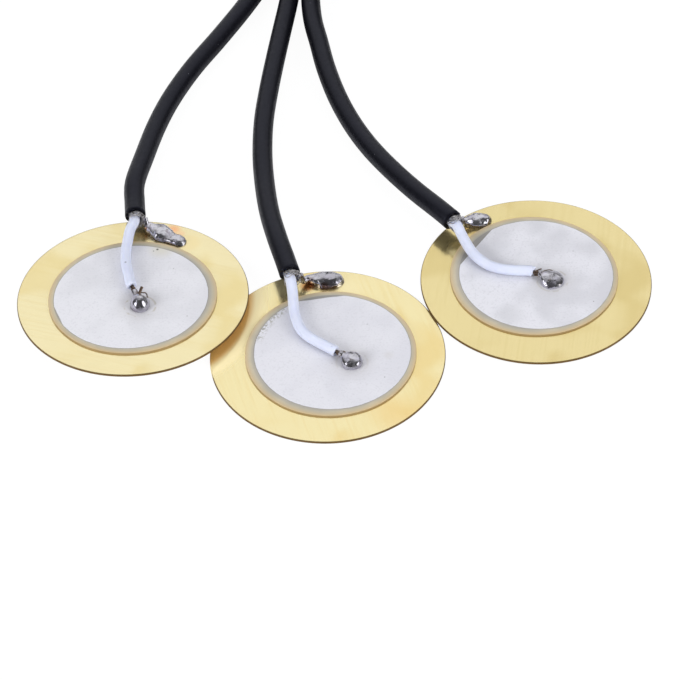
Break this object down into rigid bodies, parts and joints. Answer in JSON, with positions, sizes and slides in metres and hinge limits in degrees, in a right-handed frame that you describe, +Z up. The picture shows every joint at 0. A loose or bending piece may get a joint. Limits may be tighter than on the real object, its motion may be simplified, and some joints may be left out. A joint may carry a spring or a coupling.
{
  "type": "acoustic piezo pickup",
  "caption": "Contact pickup for an acoustic instrument: brass and ceramic disc transducers on screened leads, coiled and joined to an endpin jack.",
  "frame": {"origin": "centre of the middle disc's underside, which lies flat on the floor", "axes": "+X along the row of discs towards the right disc, +Y away from the row towards the coil of leads, +Z up"},
  "size_m": [0.107, 0.1193, 0.0156],
  "materials": {
    "brass": "satin, lightly brushed",
    "ceramic": "matte fired ceramic",
    "silver": "matte fired silver print",
    "solder": "bright solder",
    "core": "smooth insulation",
    "copper": "tinned copper",
    "jacket": "smooth satin jacket",
    "strap": "woven strap",
    "nickel": "nickel plate",
    "spring_steel": "stamped spring steel",
    "wafer": "phenolic board",
    "contact": "plated contact strip"
  },
  "bodies": {
    "root": {"left_brass_disc": "brass", "left_ceramic_layer": "ceramic", "left_silver_electrode": "silver", "left_rim_solder": "solder", "left_centre_solder": "solder", "left_core_insulation": "core", "left_inner_conductor": "copper", "left_shield_twist": "solder", "left_lead": "jacket", "left_lead_tail": "jacket", "middle_brass_disc": "brass", "middle_ceramic_layer": "ceramic", "middle_silver_electrode": "silver", "middle_rim_solder": "solder", "middle_centre_solder": "solder", "middle_core_insulation": "core", "middle_inner_conductor": "copper", "middle_shield_twist": "solder", "middle_lead": "jacket", "middle_lead_tail": "jacket", "right_brass_disc": "brass", "right_ceramic_layer": "ceramic", "right_silver_electrode": "silver", "right_rim_solder": "solder", "right_centre_solder": "solder", "right_core_insulation": "core", "right_inner_conductor": "copper", "right_shield_twist": "solder", "right_lead": "jacket", "right_lead_tail": "jacket", "lead_coil": "jacket", "coil_tie": "strap", "jack_barrel": "nickel", "strap_button": "nickel", "outer_washer": "nickel", "inner_washer": "nickel", "lock_washer": "spring_steel", "hex_nut": "nickel", "rear_cover": "nickel", "lead_grommet": "jacket", "contact_wafer": "wafer", "tip_spring": "contact", "sleeve_lug": "contact"}
  },
  "joints": []
}
